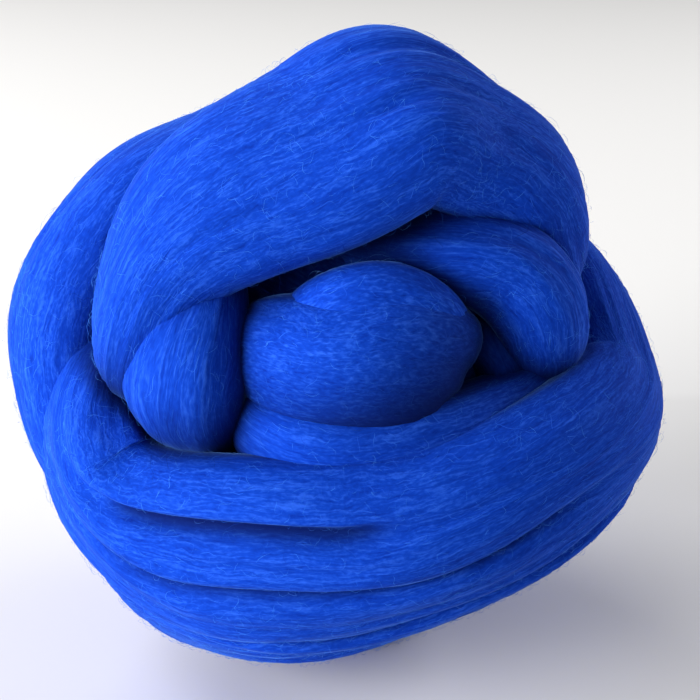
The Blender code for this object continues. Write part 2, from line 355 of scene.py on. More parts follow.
# Fibres: how many of a kind, their lengths, how far they may turn from the sliver's own direction in
# degrees and what share of them strays at any angle, the height of their middle over the turn, the
# width of their waves, and their thickness.
Fibres = namedtuple("Fibres", "name count points length turn stray lift wave thick")
FIBRE_KINDS = [
    Fibres("combed_fibres_a", 3000, 7, (4.0, 9.0), 7.0, 0.05, (0.00, 0.10), 0.25, (0.09, 0.17)),
    Fibres("combed_fibres_b", 3000, 7, (4.0, 9.0), 7.0, 0.05, (0.00, 0.10), 0.25, (0.09, 0.17)),
    Fibres("curly_fibres", 4000, 8, (2.5, 6.0), 25.0, 0.30, (0.03, 0.30), 0.50, (0.06, 0.11)),
    Fibres("down_a", 5000, 6, (1.5, 5.0), 45.0, 0.70, (0.30, 1.50), 0.60, (0.04, 0.07)),
    Fibres("down_b", 5000, 6, (1.5, 5.0), 45.0, 0.70, (0.30, 1.50), 0.60, (0.04, 0.07)),
]
FIBRE_SIDES = 3
OWN_ROUNDNESS = 0.3  # how much a fibre is shaded as a thread of its own rather than as part of the wool
TIP_SHARE = 0.45  # a fibre's thickness beside its tips
WAVE_LENGTHS = (2.6, 6.0)
ENDS_BURIED = 0.25  # how deep a fibre's ends lie in the wool
FREE_END_SHARE = 0.5  # of the down, which stands off the wool at one end
DOWN_LIFT = 1.0  # a kind that stands off the wool by more than this is down
STRAY_ANGLE = 80.0  # the most that a straying fibre turns from the sliver's own direction
TANGLE_STRAY = 0.5  # the further share of fibres that stray where the tangle is 1
FIBRE_BEND = 0.12  # how far a fibre's ends bend sideways, as a share of its length
WAVE_SHARES = (0.3, 1.3)  # the width of one fibre's waves beside its kind's
HUMP_POWER = 0.7  # how soon a fibre that lies on the wool rises from its ends
RISE_POWER = 1.4  # and how late one with a free end rises
SPOT_SPREAD = 2.0  # how far round the turn a fibre may lie from its spot
FLOOR_CLEARANCE = 0.15
SEED = 11

# Bare spots, where fibres start: every so many rings and columns of a turn's grid, away from its ends
# and its inner side, where a ray outwards from just over the surface meets nothing near.
SPOT_RINGS = 5
SPOT_COLUMNS = 3
END_RINGS = 3
OUTSIDE_SINE = -0.4  # the lowest sine of a section's angle that counts as outside
OVER_SURFACE = 1.2
CLEARANCE = 1.0
FAR = 1000.0
TREE_STEP = 3  # grid points from one point of the search tree's surfaces to the next

# Fibres that cross the gaps between turns: their number and points, how far apart their ends are, the
# least room round their middles, how far they bow, as a share of their span, and how far each point
# strays, how squarely the first end's wool faces the other, their thickness, which way they are shaded
# as facing, and how open the air is taken to be round them, which sets their painted shade.
BRIDGES = 220
BRIDGE_POINTS = 8
BRIDGE_SPANS = (4.0, 14.0)
BRIDGE_AIR = 2.0
BRIDGE_BOW = 0.16
BRIDGE_WIGGLE = 0.4
BRIDGE_MEETING = 0.1
BRIDGE_THICK = (0.05, 0.09)
BRIDGE_FACING = (0.3, -0.5, 0.8)
BRIDGE_SEEN = 0.4

# Air: how much of it a place on the wool sees, from 0 to 1, which sets the painted shade of the wool
# between the turns, in the creases and at some dents.
AIR_STEP = 3  # grid points from one measured place to the next
AIR_RAYS = 24
AIR_REACH = 26.0  # no more air than this is counted along a ray
AIR_SPREAD = 0.97  # how far the rays lean from the surface's normal
AIR_START = 0.9  # the height over the surface where the rays start
AIR_CLOSED = 0.15  # the wool takes the full painted crevice shade where it sees this share of the air
AIR_OPEN = 1.0  # and has no painted shade where it sees this share
# the air that the wound middle is taken to see, which sets its painted shade
CORE_AIR = 0.5

# Colours, as linear light.
BLUE_DEEP = (0.001, 0.024, 0.300, 1.0)
BLUE_MIDDLE = (0.003, 0.046, 0.450, 1.0)
BLUE_LIGHT = (0.018, 0.100, 0.650, 1.0)
BLUE_FIBRE_DARK = (0.002, 0.034, 0.380, 1.0)
BLUE_FIBRE_LIGHT = (0.020, 0.115, 0.660, 1.0)
# The down is lighter than the wool as painted light for the glow of the fuzz at the edges; each fibre's tone
# between these two is random.
BLUE_DOWN_DARK = (0.008, 0.080, 0.500, 1.0)
BLUE_DOWN_LIGHT = (0.060, 0.260, 0.820, 1.0)
# Painted shade: the dark blue towards which the wool is painted where little air is seen, in crevices,
# creases and some dents.
BLUE_PAINTED_SHADE = (0.0005, 0.006, 0.075, 1.0)
SHEEN_TINT = (0.14, 0.36, 1.0, 1.0)

# The wool's finish.
ROUGHNESS = 0.85
SPECULAR_LEVEL = 0.06
SHEEN_WEIGHT = 0.42
SHEEN_ROUGHNESS = 0.25
TONES = [(0.38, BLUE_DEEP), (0.50, BLUE_MIDDLE), (0.62, BLUE_LIGHT)]
BUMP_STRENGTH = 0.6
BUMP_DISTANCE = 0.25
# The noises in its tone and relief: a width and a length, which for a streak is a share of its combing's
# streaks. The bends and crimps move the streaks sideways. The lines of the tone are the grain and the
# fine streaks, and its clouds are the locks, the soft streaks and the broad patches.
GRAIN = (0.65, 1.3)
BENDS = (6.0, 14.0)
CRIMPS = (1.3, 2.0)
FINE_STREAKS = (0.6, 0.35)
LOCK_STREAKS = (1.4, 1.0)
SOFT_STREAKS = (3.2, 1.6)
BROAD_PATCHES = (17.0, 45.0)
DETAIL = 2.0
BROAD_DETAIL = 1.0
NOISE_ROUGHNESS = 0.6
BEND_SHIFT = 5.0  # how far the slow bends move the streaks sideways
LINE_SHARES = (0.4, 0.6)
CLOUD_SHARES = (0.5, 0.32, 0.18)
GRAIN_HEIGHT = 0.6  # beside the height of the locks
FINE_HEIGHT = 0.5
# Combing: the length of the wool's streaks, how far they wave sideways, and how much of the change in
# tone is in soft clouds rather than in fine lines.
Combing = namedtuple("Combing", "name streak crimp clouds")
COMBED = Combing("combed_wool", 18.0, 0.7, 0.42)
FELTED = Combing("felted_wool", 4.0, 1.2, 0.42)
FELTED_TANGLE = 0.5  # the tangle from which a turn looks felted rather than combed

# The floor, in metres, and its finish.
FLOOR_HALF = 5.0
FLOOR_SEGMENTS = 8
FLOOR_WHITE = (0.79, 0.78, 0.77, 1.0)
# Painted light: the lighter tone of the floor's back.
BACK_PAINTED_LIGHT_WHITE = (0.83, 0.82, 0.81, 1.0)
BACK_LINE = 0.153  # the floor is a little lighter behind this: painted light, standing in for a brighter wall
BACK_LINE_HALF = 0.004  # half of the stretch over which its tone changes
FLOOR_ROUGHNESS = 0.75
FLOOR_SPECULAR = 0.2

# The camera, in metres but for its lens and sensor.
LENS_MM = 85.0
SENSOR_MM = 36.0
NEAREST_SEEN = 0.01
CAMERA_ELEVATION = 22.0
CAMERA_DISTANCE = 0.431
CAMERA_TARGET = (0.00365, -0.00098, 0.08058)
# Light: an area light's place, size and power, in metres and watts. Those at the left light the ball most.
Light = namedtuple("Light", "name place size power")
LIGHTS = [
    Light("left_window", (-1.35, -0.70, 0.20), 1.2, 54.0),
    Light("front_left_window", (-1.20, -0.90, 0.55), 1.2, 14.0),
    Light("back_left_glow", (-0.80, 0.60, 1.00), 1.0, 13.0),
    Light("right_glow", (1.20, 0.50, 0.60), 0.8, 11.5),
]
ROOM_COLOUR = (0.98, 0.99, 1.0, 1.0)
ROOM_STRENGTH = 0.14


def direction(azimuth, elevation):
    """The unit vector from the ball's centre towards an azimuth and an elevation."""
    a, e = np.radians(azimuth), np.radians(elevation)
    return np.array([np.sin(a) * np.cos(e), -np.cos(a) * np.cos(e), np.sin(e)])


def bends(knots, values):
    """The second derivatives of the natural cubic spline through values at knots."""
    gaps = np.diff(knots)
    system = np.eye(len(knots))
    right = np.zeros(values.shape)
    for i in range(1, len(knots) - 1):
        before, after = gaps[i - 1], gaps[i]
        system[i, i - 1 : i + 2] = before, 2 * (before + after), after
        right[i] = 6 * ((values[i + 1] - values[i]) / after - (values[i] - values[i - 1]) / before)
    return np.linalg.solve(system, right)


def smooth_route(turn, step):
    """Places, widths and thicknesses at even steps along a turn, in five columns, and its length."""
    values = np.array([
        [*(BALL_CENTRE + row.reach * direction(row.azimuth, row.elevation)), row.width, row.thick]
        for row in turn.rows
    ])
    chords = np.linalg.norm(np.diff(values[:, :3], axis=0), axis=1)
    knots = np.concatenate([[0], np.cumsum(chords)])
    second = bends(knots, values)

    def at(places):
        i = np.clip(np.searchsorted(knots, places, side="right") - 1, 0, len(chords) - 1)
        gap = chords[i][:, None]
        a = (knots[i + 1] - places)[:, None] / gap
        b = 1 - a
        curve = (a**3 - a) * second[i] + (b**3 - b) * second[i + 1]
        return a * values[i] + b * values[i + 1] + curve * gap**2 / 6

    fine = np.linspace(0, knots[-1], FINE_STEPS)
    steps = np.linalg.norm(np.diff(at(fine)[:, :3], axis=0), axis=1)
    run = np.concatenate([[0], np.cumsum(steps)])
    even = np.linspace(0, run[-1], round(run[-1] / step) + 1)
    return at(np.interp(even, run, fine)), run[-1]


def section_axes(places):
    """Unit vectors across the sliver and outwards from the ball, at each place of a route."""
    along = np.gradient(places, axis=0)
    along /= np.linalg.norm(along, axis=1)[:, None]
    outwards = places - BALL_CENTRE
    outwards -= (outwards * along).sum(1)[:, None] * along
    outwards /= np.linalg.norm(outwards, axis=1)[:, None]
    return np.cross(along, outwards), outwards


def squared(wave):
    """A sine or cosine with its ends held out, for a section squarer than an ellipse."""
    return np.sign(wave) * np.abs(wave) ** (2 / SECTION_POWER)


def soft_noise(x, y, seed):
    """Smooth random heights from -1 to 1, one lattice cell to a unit of x and of y."""
    lattice = np.random.default_rng(seed).uniform(-1, 1, (LATTICE, LATTICE))
    i, j = np.floor(x).astype(int), np.floor(y).astype(int)
    u, v = x - i, y - j
    u, v = u * u * (3 - 2 * u), v * v * (3 - 2 * v)
    i0, i1, j0, j1 = i % LATTICE, (i + 1) % LATTICE, j % LATTICE, (j + 1) % LATTICE
    low = lattice[i0, j0] * (1 - u) + lattice[i1, j0] * u
    high = lattice[i0, j1] * (1 - u) + lattice[i1, j1] * u
    return low * (1 - v) + high * v


def section_angles(width):
    """Angles round the section from the middle of its inner side: coarse there and fine on the outside."""
    inner = max(FEWEST_HIDDEN, round(HIDDEN_ARC * width / HIDDEN_STEP))
    outer = round(OUTER_ARC * width / STEP_ACROSS)
    return np.concatenate([
        np.linspace(-np.pi / 2, -OUTER_OVERLAP, inner, endpoint=False),
        np.linspace(-OUTER_OVERLAP, np.pi + OUTER_OVERLAP, outer, endpoint=False),
        np.linspace(np.pi + OUTER_OVERLAP, 1.5 * np.pi, inner, endpoint=False),
    ])


def normals(grid):
    """Unit normals of a swept grid, pointing out of the sliver."""
    along = np.gradient(grid, axis=0)
    around = np.roll(grid, -1, axis=1) - np.roll(grid, 1, axis=1)
    normal = np.cross(along, around)
    return normal / np.maximum(np.linalg.norm(normal, axis=2), TINY)[..., None]


def relief(turn, run, arc):
    """The heights of the combed locks at distances along the sliver and round it."""
    seed = int(turn.phase * 10)
    height = 0.0
    for number, ridge in enumerate(RIDGES):
        slow, wide = run / (ridge.length * WANDER_LENGTH), arc / (ridge.width * WANDER_WIDTH)
        wander = soft_noise(slow, wide, seed + WANDER_SEED + number)
        wave = soft_noise(arc / ridge.width + wander, run / ridge.length, seed + number)
        height = height + ridge.height * wave
    return height


def crease_noise(crease, run, length, rows, seed):
    """Smooth random changes along a crease, from -1 to 1."""
    return soft_noise(run / length, rows * crease.across, seed)


def swept(turn):
    """One turn's surface in millimetres, with its angles, distances round it and length."""
    route, length = smooth_route(turn, STEP_ALONG)
    places, width, thick = route[:, :3], route[:, 3:4], route[:, 4:5]
    across_axis, out_axis = section_axes(places)
    angle = section_angles(width.max())
    across = squared(np.cos(angle))[None]
    height = squared(np.sin(angle))[None]
    share = np.linspace(0, 1, len(route))[:, None]
    outer = np.clip(height, 0, 1)
    x = across * width / 2
    y = height * thick / 2 - EDGE_CURVE * x**2 / (2 * BALL_RADIUS)
    for lump in LUMPS:
        wave = np.sin(share * length / lump.pace + lump.lean * across + lump.shift * turn.phase)
        y = y + turn.lump * lump.height * outer * wave
    clear = np.ones(y.shape)
    for dent in DENTS.get(turn.name, []):
        off_along = (share - dent.share) * length / dent.along
        off_across = (across - dent.across) * width / 2 / dent.side
        near = np.exp(-(off_along**2) - off_across**2)
        y = y - dent.depth * outer * near
        x = x + dent.widen * np.exp(-(off_along**2)) * np.where(across * dent.across > 0, across, 0)
        # The dent's painted shade, which is painted light where its share is below 0.
        clear = clear * (1 - dent.shade * near)
    for crease in turn.creases:
        way = np.clip((share - crease.start) / (crease.end - crease.start), 0, 1)
        middle = crease.across + (crease.across_end - crease.across) * way
        ramp = np.minimum(share - crease.start, crease.end - share) / CREASE_FADE
        uneven = CREASE_UNEVEN * crease_noise(crease, share * length, *CREASE_DEPTH_NOISE)
        ramp = np.clip(ramp, 0, 1) * (1 - CREASE_UNEVEN + uneven)
        middle = middle + CREASE_WANDER * crease_noise(crease, share * length, *CREASE_PLACE_NOISE)
        valley = (height > 0) * ramp**2 * (3 - 2 * ramp) * np.exp(-(((across - middle) / crease.spread) ** 2))
        y = y - crease.depth * valley
        # Painted shade in the crease.
        clear = clear * (1 - min(1.0, CREASE_PAINTED_SHADE * crease.depth) * valley**2)
    grid = places[:, None] + x[..., None] * across_axis[:, None] + y[..., None] * out_axis[:, None]
    widest = grid[width.argmax()]
    arc = np.concatenate([[0], np.cumsum(np.linalg.norm(np.diff(widest, axis=0), axis=1))])
    fade = np.clip((np.sin(angle) + RIDGE_FADE) / RIDGE_FADE, 0, 1)[None]
    bumps = fade * relief(turn, share * length, arc[None] + 0 * share)
    grid = grid + bumps[..., None] * normals(grid)
    grid[..., 2] = np.maximum(grid[..., 2], 0)
    return Strand(turn, grid, normals(grid), angle, arc, width[:, 0] / width.max(), length, clear)


def add_piece(name, data):
    """A mesh object that rides with the ball, stands for its solid and takes the wool's finish."""
    piece = bpy.data.objects.new(name, data)
    bpy.context.scene.collection.objects.link(piece)
    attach(piece, BODY)
    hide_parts(NODE)
    return piece


def ring_quads(rings, around, start=0):
    """The faces between the rings of a swept grid whose first point has the number start."""
    column = np.arange(around)
    first = np.arange(rings - 1)[:, None] * around + start
    follow = (column + 1) % around
    corners = [first + column, first + around + column, first + around + follow, first + follow]
    return np.stack(corners, -1).reshape(-1, 4)


def strand_piece(strand, material):
    """A closed mesh of one turn. Its UVs are millimetres round it and along it."""
    rings, around = strand.grid.shape[:2]
    column = np.arange(around)
    quads = ring_quads(rings, around)
    caps = [list(range(around)), list(range((rings - 1) * around, rings * around))[::-1]]
    data = bpy.data.meshes.new(strand.turn.name)
    data.from_pydata((strand.grid.reshape(-1, 3) * MM).tolist(), [], quads.tolist() + caps)
    arc = np.append(strand.arc, strand.arc[-1] + (strand.arc[-1] - strand.arc[-2]))
    run = np.linspace(0, strand.length, rings)
    corner = np.zeros((rings - 1, around, 4, 2), np.float32)
    corner[..., 0] = np.stack([arc[column], arc[column], arc[column + 1], arc[column + 1]], -1)
    corner[..., 1] = np.stack([run[:-1], run[1:], run[1:], run[:-1]], -1)[:, None]
    uvs = np.zeros((len(data.loops), 2), np.float32)
    uvs[: corner.size // 2] = corner.reshape(-1, 2)
    data.uv_layers.new(name=FIBRE_UV).data.foreach_set("uv", uvs.ravel())
    air = strand.air.ravel().astype(np.float32)
    data.attributes.new(PAINTED_SHADE_ATTRIBUTE, "FLOAT", "POINT").data.foreach_set("value", air)
    data.shade_smooth()
    data.materials.append(material)
    return add_piece(strand.turn.name, data)


def core_piece(material):
    """The wound middle: a lumpy, matted ellipsoid."""
    mesh = bmesh.new()
    bmesh.ops.create_icosphere(mesh, subdivisions=CORE_SUBDIVISIONS, radius=1.0)
    for vertex in mesh.verts:
        way = vertex.co.normalized()
        place = [way[i] * CORE_LOCKS[i] for i in range(3)]
        place[1] += noise.noise(way * CORE_SWIRLS) * CORE_SWIRL
        lock = abs(noise.noise(Vector(place)))
        height = CORE_LUMP_HEIGHT * noise.noise(way * CORE_LUMPS) + CORE_LOCK_HEIGHT * lock
        vertex.co = Vector([way[i] * (CORE_SEMI_AXES[i] + height) for i in range(3)])
        vertex.co = (vertex.co + Vector(BALL_CENTRE)) * MM
    data = bpy.data.meshes.new("wound_middle")
    mesh.to_mesh(data)
    mesh.free()
    way = np.array([vertex.co for vertex in data.vertices]) / MM - BALL_CENTRE
    corner = way[[loop.vertex_index for loop in data.loops]]
    uvs = np.stack([corner[:, 2] + 0.3 * corner[:, 0], corner[:, 0] + corner[:, 1]], -1).astype(np.float32)
    data.uv_layers.new(name=FIBRE_UV).data.foreach_set("uv", uvs.ravel())
    data.attributes.new(PAINTED_SHADE_ATTRIBUTE, "FLOAT", "POINT").data.foreach_set("value", [CORE_AIR] * len(data.vertices))
    data.shade_smooth()
    data.materials.append(material)
    return add_piece("wound_middle", data)


def coarse_tree(strands):
    """A search tree of every turn's surface, in millimetres, from a thinned grid."""
    points, faces = [], []
    for strand in strands:
        grid = strand.grid[::TREE_STEP, ::TREE_STEP]
        faces.extend(ring_quads(*grid.shape[:2], len(points)).tolist())
        points.extend(grid.reshape(-1, 3).tolist())
    return BVHTree.FromPolygons(points, faces)


def open_air(tree, point, way, reach=FAR):
    """How far the air reaches from a point, 0 inside the wool and reach where nothing is in the way."""
    place, normal, _, distance = tree.ray_cast(Vector(point), Vector(way), reach)
    if place is None:
        return reach
    return 0.0 if normal.dot(Vector(way)) > 0 else distance


def spread_inwards(field):
    """A grid with its empty places filled from the ones beside them, and then a little blurred."""
    for last in [False] * sum(field.shape) + [True]:
        padded = np.pad(field, 1, mode="edge")
        beside = [padded[i : i + field.shape[0], j : j + field.shape[1]] for i in range(3) for j in range(3)]
        known = np.sum(np.isfinite(beside), axis=0)
        blurred = np.where(known, np.nansum(beside, axis=0) / np.maximum(known, 1), np.nan)
        if last or np.isfinite(field).all():
            return np.where(np.isfinite(blurred), blurred, 0.0)
        field = np.where(np.isfinite(field), field, blurred)


def air_field(strand, tree, random):
    """How much open air each point of a turn sees, which sets its painted shade.

    It is measured coarsely and smoothed, and then takes the painted shade and painted light of the turn's
    creases and dents.
    """
    rings, around = strand.grid.shape[:2]
    rows = np.append(np.arange(0, rings - 1, AIR_STEP), rings - 1)
    columns = np.append(np.arange(0, around - 1, AIR_STEP), around - 1)
    ways = random.normal(0, 1, (AIR_RAYS, 3))
    ways /= np.linalg.norm(ways, axis=1)[:, None]
    coarse = np.full((len(rows), len(columns)), np.nan)
    for a, i in enumerate(rows):
        for b, j in enumerate(columns):
            normal = strand.normal[i, j]
            start = strand.grid[i, j] + AIR_START * normal
            seen = [open_air(tree, start, way, AIR_REACH) / AIR_REACH for way in normal + AIR_SPREAD * ways]
            if np.count_nonzero(seen) > AIR_RAYS / 2:
                coarse[a, b] = np.mean(seen)
    coarse = spread_inwards(coarse)
    along = np.array([np.interp(np.arange(around), columns, line) for line in coarse])
    return strand.clear * np.array([np.interp(np.arange(rings), rows, line) for line in along.T]).T


def bare_spots(strands, tree):
    """Evenly scattered spots on the outside of the turns where nothing lies on them.

    Each row is the turn's number, the ring, the column and the area of the spot's own cell.
    """
    spots = []
    for number, strand in enumerate(strands):
        rings, around = strand.grid.shape[:2]
        outside = np.sin(strand.angle) > OUTSIDE_SINE
        for j in np.flatnonzero(outside)[::SPOT_COLUMNS]:
            for i in range(END_RINGS + j % SPOT_RINGS, rings - END_RINGS, SPOT_RINGS):
                way = strand.normal[i, j]
                if open_air(tree, strand.grid[i, j] + OVER_SURFACE * way, way) > CLEARANCE:
                    spots.append((number, i, j, np.linalg.norm(strand.grid[i, j + 1] - strand.grid[i, j])))
    return np.array(spots)


def on_strand(strand, run, arc):
    """Places, normals and openness on a turn at distances along it and round it; the openness carries its
    painted shade.
    """
    rings, around = strand.grid.shape[:2]
    i = np.clip(run / strand.length * (rings - 1), 0, rings - JUST_INSIDE)
    j = np.clip(np.interp(arc, strand.arc, np.arange(around)), 0, around - JUST_INSIDE)
    i0, j0 = i.astype(int), j.astype(int)
    u, v = (i - i0)[..., None], (j - j0)[..., None]

    def mixed(field):
        near = field[i0, j0] * (1 - v) + field[i0, j0 + 1] * v
        return near * (1 - u) + (field[i0 + 1, j0] * (1 - v) + field[i0 + 1, j0 + 1] * v) * u

    air = strand.air[np.round(i).astype(int), np.round(j).astype(int)]
    return mixed(strand.grid), mixed(strand.normal), air


def fibre_paths(kind, strands, spots, random):
    """Paths of one kind of fibre over the bare spots, the normals under them and their openness, which sets
    their painted shade.
    """
    chosen = spots[random.choice(len(spots), kind.count, p=spots[:, 3] / spots[:, 3].sum())]
    chosen = chosen[np.argsort(chosen[:, 0], kind="stable")]
    share = np.linspace(0, 1, kind.points)[None]
    paths, ups, painted_shade_airs = [], [], []
    for number, strand in enumerate(strands):
        mine = chosen[chosen[:, 0] == number]
        if not len(mine):
            continue
        size = (len(mine), 1)
        ring, column = mine[:, 1:2].astype(int), mine[:, 2:3].astype(int)
        step = strand.length / (len(strand.grid) - 1)
        run = (ring + random.uniform(-SPOT_RINGS / 2, SPOT_RINGS / 2, size)) * step
        arc = strand.arc[column] + random.uniform(-SPOT_SPREAD, SPOT_SPREAD, size)
        long = random.uniform(*kind.length, size)
        loose = kind.stray + TANGLE_STRAY * strand.turn.tangle > random.uniform(0, 1, size)
        heading = random.normal(0, kind.turn * (1 + strand.turn.tangle), size)
        heading = np.radians(np.where(loose, random.uniform(-STRAY_ANGLE, STRAY_ANGLE, size), heading))
        along = (share - 0.5) * long
        waves = 2 * np.pi * (along / random.uniform(*WAVE_LENGTHS, size) + random.uniform(0, 1, size))
        side = kind.wave * random.uniform(*WAVE_SHARES, size) * np.sin(waves)
        side = side + random.normal(0, FIBRE_BEND, size) * long * (4 * (share - 0.5) ** 2)
        run = run + along * np.cos(heading) - side * np.sin(heading)
        arc = arc + (along * np.sin(heading) + side * np.cos(heading)) / strand.narrow[ring]
        place, normal, air = on_strand(strand, run, arc)
        hump = np.sin(np.pi * share) ** HUMP_POWER
        free = random.uniform(0, 1, size) < FREE_END_SHARE * (kind.lift[1] > DOWN_LIFT)
        rise = np.where(free, share**RISE_POWER, hump)
        height = -ENDS_BURIED + (ENDS_BURIED + random.uniform(*kind.lift, size)) * rise
        place = place + height[..., None] * normal
        place[..., 2] = np.maximum(place[..., 2], FLOOR_CLEARANCE)
        paths.append(place)
        ups.append(normal)
        painted_shade_airs.append(air.mean(1))
    return np.concatenate(paths), np.concatenate(ups), np.concatenate(painted_shade_airs)


def bridge_paths(strands, spots, tree, random):
    """Stray fibres that cross the open gaps between two turns."""
    place = np.array([strands[int(n)].grid[int(i), int(j)] for n, i, j, _ in spots])
    normal = np.array([strands[int(n)].normal[int(i), int(j)] for n, i, j, _ in spots])
    share = np.linspace(0, 1, BRIDGE_POINTS)
    paths = []
    while len(paths) < BRIDGES:
        a = random.integers(len(spots))
        apart = np.linalg.norm(place - place[a], axis=1)
        in_reach = (apart > BRIDGE_SPANS[0]) & (apart < BRIDGE_SPANS[1])
        near = np.flatnonzero(in_reach & (spots[:, 0] != spots[a, 0]))
        if not len(near):
            continue
        b = near[random.integers(len(near))]
        way = place[b] - place[a]
        facing = normal[a] @ way > BRIDGE_MEETING * apart[b] and normal[b] @ -way > 0
        middle = (place[a] + place[b]) / 2
        if not facing or tree.find_nearest(Vector(middle))[3] < BRIDGE_AIR:
            continue
        bow = random.normal(0, BRIDGE_BOW * apart[b], 3)
        wiggle = random.normal(0, BRIDGE_WIGGLE, (BRIDGE_POINTS, 3))
        wiggle[[0, -1]] = 0
        path = place[a] + share[:, None] * way + (4 * share * (1 - share))[:, None] * bow
        paths.append(path + wiggle)
    paths = np.array(paths)
    ups = np.broadcast_to(np.array(BRIDGE_FACING), paths.shape)
    return paths, ups, np.full(len(paths), BRIDGE_SEEN)


def fibres_piece(name, paths, ups, painted_shade_airs, thick, material, random):
    """Closed tubes along the paths, three-sided and pointed at both ends.

    Their U is a random tone and their V is how open the air is there, which sets their painted shade.
    """
    along = np.gradient(paths, axis=1)
    along /= np.linalg.norm(along, axis=2)[..., None]
    side = np.cross(along, ups)
    side /= np.linalg.norm(side, axis=2)[..., None]
    up = np.cross(side, along)
    count, each = paths.shape[:2]
    taper = np.ones(each - 2)
    taper[[0, -1]] = TIP_SHARE
    radius = random.uniform(*thick, (count, 1, 1)) / 2 * taper[None, :, None]
    angle = 2 * np.pi * np.arange(FIBRE_SIDES) / FIBRE_SIDES
    ring = np.cos(angle)[:, None] * side[:, 1:-1, None] + np.sin(angle)[:, None] * up[:, 1:-1, None]
    middle = paths[:, 1:-1, None] + radius[..., None] * ring
    points = np.concatenate([paths[:, :1], middle.reshape(count, -1, 3), paths[:, -1:]], axis=1)
    quads = ring_quads(each - 2, FIBRE_SIDES, 1)
    end = points.shape[1] - 1
    column = np.arange(FIBRE_SIDES)
    follow = (column + 1) % FIBRE_SIDES
    last = end - FIBRE_SIDES
    tips = [[0, a, b] for a, b in zip(1 + column, 1 + follow)]
    tips += [[end, b, a] for a, b in zip(last + column, last + follow)]
    starts = np.arange(count) * (end + 1)
    faces = (starts[:, None, None] + quads).reshape(-1, 4).tolist()
    faces += (starts[:, None, None] + np.array(tips)).reshape(-1, 3).tolist()
    data = bpy.data.meshes.new(name)
    data.from_pydata((points.reshape(-1, 3) * MM).tolist(), [], faces)
    corners = np.empty(len(data.loops), np.int32)
    data.loops.foreach_get("vertex_index", corners)
    fibre = corners // (end + 1)
    uvs = np.stack([random.uniform(0, 1, count)[fibre], painted_shade_airs[fibre]], -1).astype(np.float32)
    data.uv_layers.new(name=FIBRE_UV).data.foreach_set("uv", uvs.ravel())
    data.shade_smooth()
    round_it = np.repeat(ups[:, 1:-1], FIBRE_SIDES, axis=1) + OWN_ROUNDNESS * ring.reshape(count, -1, 3)
    soft = np.concatenate([ups[:, :1], round_it, ups[:, -1:]], axis=1).reshape(-1, 3)
    data.normals_split_custom_set_from_vertices(soft / np.linalg.norm(soft, axis=1)[:, None])
    data.materials.append(material)
    piece = add_piece(name, data)
    piece.visible_shadow = False
    return piece


class Nodes:
    """Shorthand for building a node tree."""

    def __init__(self, name):
        self.material = bpy.data.materials.new(name)
        self.material.use_nodes = True
        self.tree = self.material.node_tree
        self.shader = self.tree.nodes["Principled BSDF"]

    def add(self, kind, **settings):
        """A new node with these settings."""
        node = self.tree.nodes.new(kind)
        for name, value in settings.items():
            setattr(node, name, value)
        return node

    def link(self, source, target):
        self.tree.links.new(source, target)

    def maths(self, operation, a, b):
        """The result of an operation on two sockets or numbers."""
        node = self.add("ShaderNodeMath", operation=operation)
        for socket, value in zip(node.inputs, (a, b)):
            if isinstance(value, (int, float)):
                socket.default_value = value
            else:
                self.link(value, socket)
        return node.outputs[0]

    def noise(self, u, v, detail):
        """Noise over a plane, about one lump to a unit."""
        place = self.add("ShaderNodeCombineXYZ")
        self.link(u, place.inputs[0])
        self.link(v, place.inputs[1])
        node = self.add("ShaderNodeTexNoise")
        self.link(place.outputs[0], node.inputs["Vector"])
        node.inputs["Scale"].default_value = 1.0
        node.inputs["Detail"].default_value = detail
        node.inputs["Roughness"].default_value = NOISE_ROUGHNESS
        return node.outputs["Fac"]

    def with_painted_shade(self, colour, air):
        """The colour with painted shade: darker, towards the painted crevice blue, where little air is seen.
        """
        openness = self.add("ShaderNodeMapRange", interpolation_type="SMOOTHSTEP")
        self.link(air, openness.inputs[0])
        openness.inputs[1].default_value = AIR_CLOSED
        openness.inputs[2].default_value = AIR_OPEN
        mix = self.add("ShaderNodeMix", data_type="RGBA")
        self.link(openness.outputs[0], mix.inputs[0])
        mix.inputs[6].default_value = BLUE_PAINTED_SHADE
        self.link(colour, mix.inputs[7])
        return mix.outputs[2]

    def ramp(self, value, stops):
        """The colour that a value has between stops, each a place and a colour."""
        node = self.add("ShaderNodeValToRGB")
        self.link(value, node.inputs[0])
        while len(node.color_ramp.elements) < len(stops):
            node.color_ramp.elements.new(0.5)
        for element, (place, colour) in zip(node.color_ramp.elements, stops):
            element.position = place
            element.color = colour
        return node.outputs[0]


def wool_finish(nodes):
    """The socket values that are the same all over the wool."""
    shader = nodes.shader.inputs
    shader["Roughness"].default_value = ROUGHNESS
    shader["Specular IOR Level"].default_value = SPECULAR_LEVEL
    shader["Sheen Weight"].default_value = SHEEN_WEIGHT
    shader["Sheen Roughness"].default_value = SHEEN_ROUGHNESS
    shader["Sheen Tint"].default_value = SHEEN_TINT


